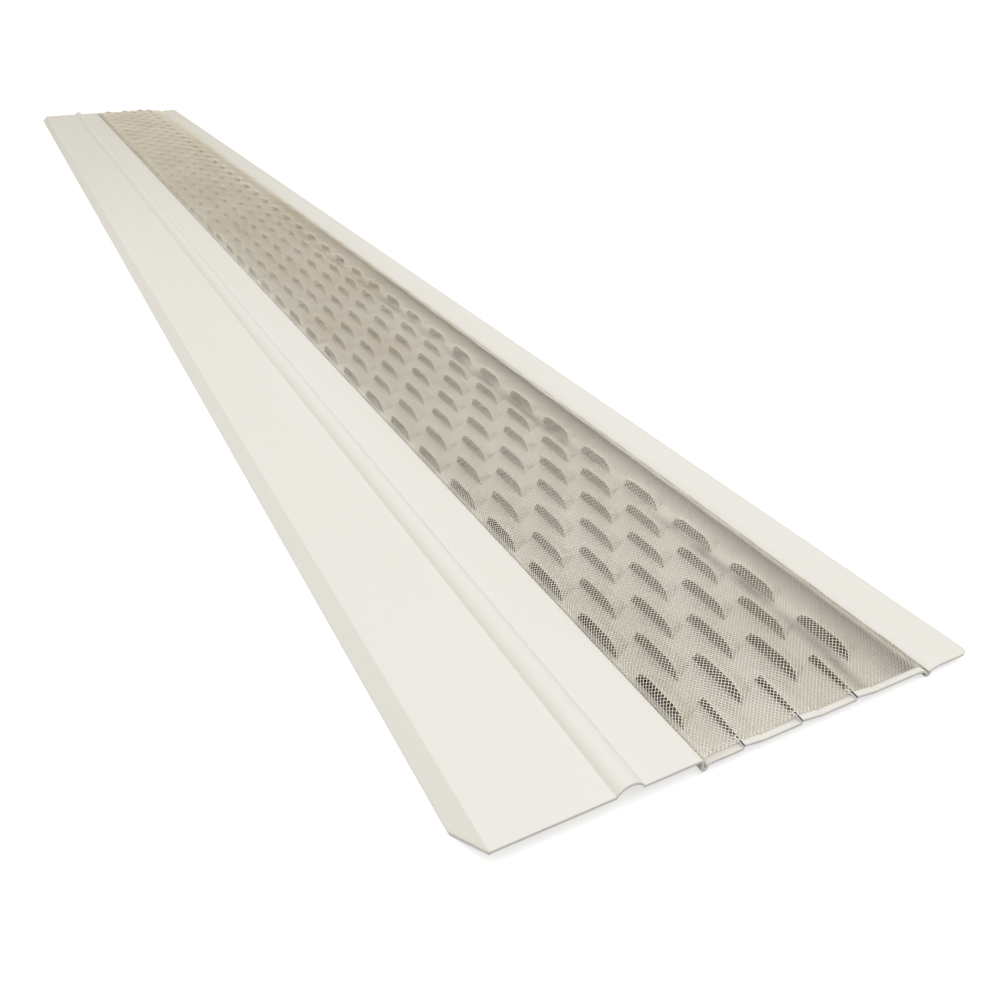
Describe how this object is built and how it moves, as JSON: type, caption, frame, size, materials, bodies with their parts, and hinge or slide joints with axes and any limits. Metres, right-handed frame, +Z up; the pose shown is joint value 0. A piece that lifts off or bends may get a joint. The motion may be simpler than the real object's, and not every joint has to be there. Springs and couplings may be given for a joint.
{
  "type": "gutter guard",
  "caption": "Long flat gutter guard: a painted aluminium strip with a lip, a bead and rows of raised louvres, and a fine woven steel mesh held over the louvres by two pleats.",
  "frame": {"origin": "middle of the strip in plan, at the floor it lies on", "axes": "+X from the roof edge with the lip to the gutter edge with the narrow flange, +Y along the strip away from the clipped end, +Z up"},
  "size_m": [0.16, 1.219, 0.0081],
  "materials": {
    "off_white_paint": "satin off-white coil coating on aluminium",
    "stainless_mesh": "plain woven stainless wire cloth, warm grey"
  },
  "bodies": {
    "root": {"louvred_sheet": "off_white_paint", "micro_mesh": "stainless_mesh"}
  },
  "joints": []
}
